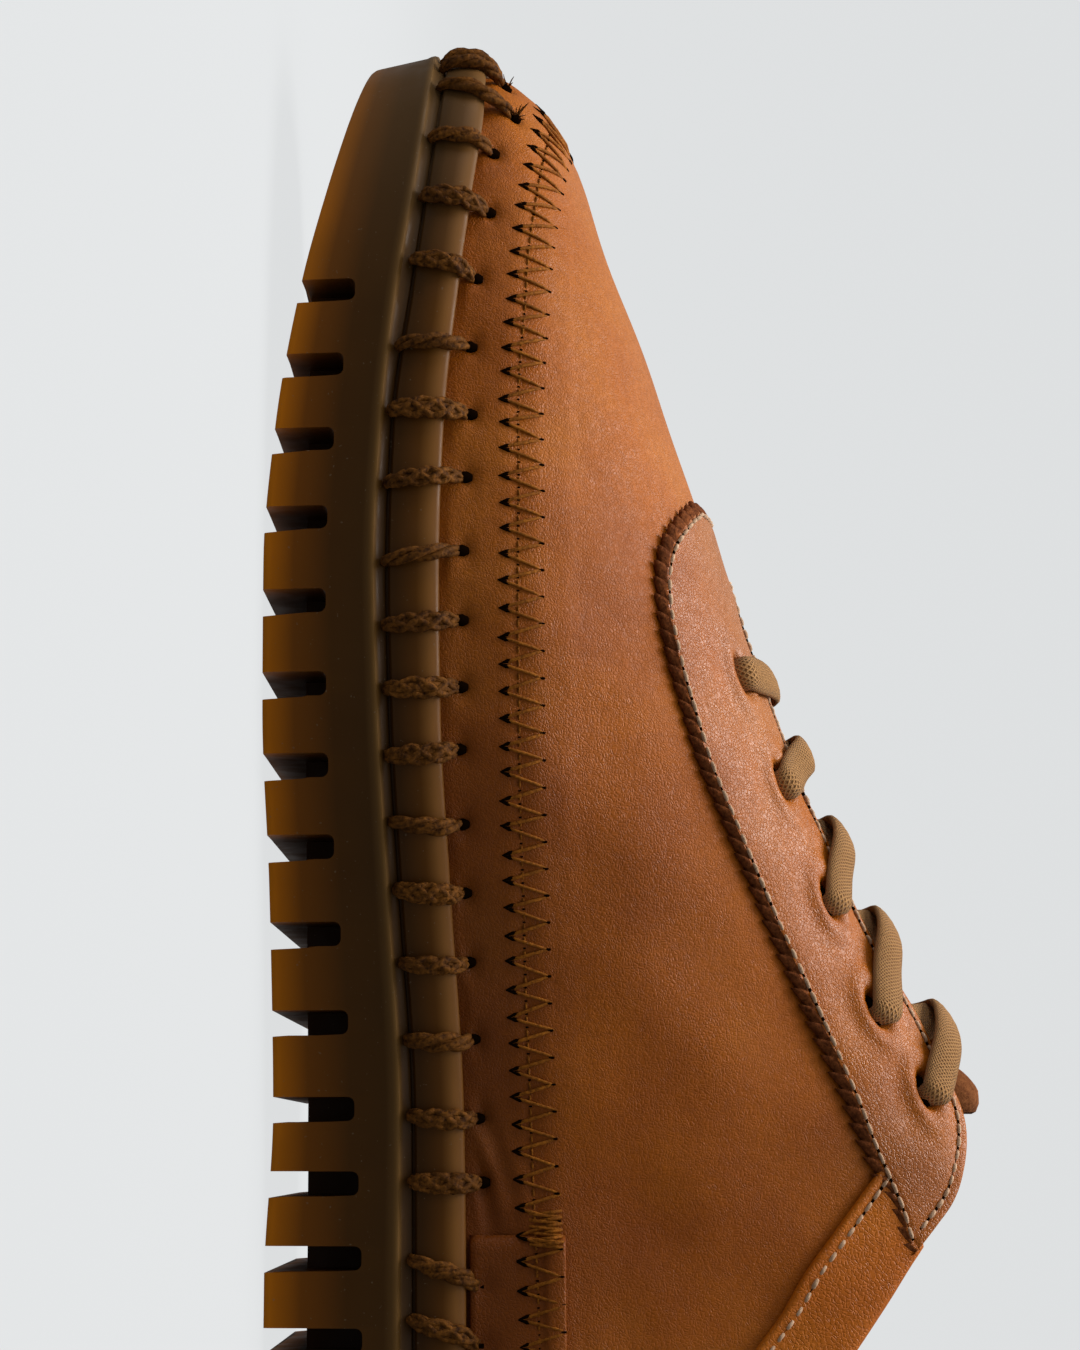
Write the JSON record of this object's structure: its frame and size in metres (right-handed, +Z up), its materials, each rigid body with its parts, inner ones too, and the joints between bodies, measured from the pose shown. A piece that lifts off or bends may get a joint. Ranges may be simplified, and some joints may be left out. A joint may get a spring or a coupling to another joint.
{
  "type": "sneaker",
  "caption": "Low lace-up sneaker for the right foot: hollow leather upper with lace facing, collar band and tongue on a lugged gum-rubber cup sole.",
  "frame": {"origin": "on the ground under the middle of the shoe's length and width", "axes": "+Z up; -X towards the toe; -Y is the inner side of the foot, as worn on the right foot"},
  "size_m": [0.3, 0.1057, 0.1207],
  "materials": {
    "gum_rubber": "satin translucent gum rubber, amber at thin edges",
    "tan_leather": "smooth tan leather with fine grain and soft sheen",
    "facing_leather": "slightly darker smooth tan leather, pinked edge",
    "tongue_leather": "soft tan leather with a rough brown edge",
    "footbed_leather": "plain undyed footbed leather",
    "cotton_lace": "flat woven waxed cotton lace"
  },
  "bodies": {
    "root": {"outsole": "gum_rubber", "insole": "footbed_leather", "upper": "tan_leather", "eyestay": "facing_leather", "collar_band": "tan_leather", "heel_counter": "tan_leather", "tongue": "tongue_leather", "lace_bar_1": "cotton_lace", "lace_cross_2": "cotton_lace", "lace_cross_3": "cotton_lace", "lace_cross_4": "cotton_lace", "lace_cross_5": "cotton_lace"}
  },
  "joints": []
}
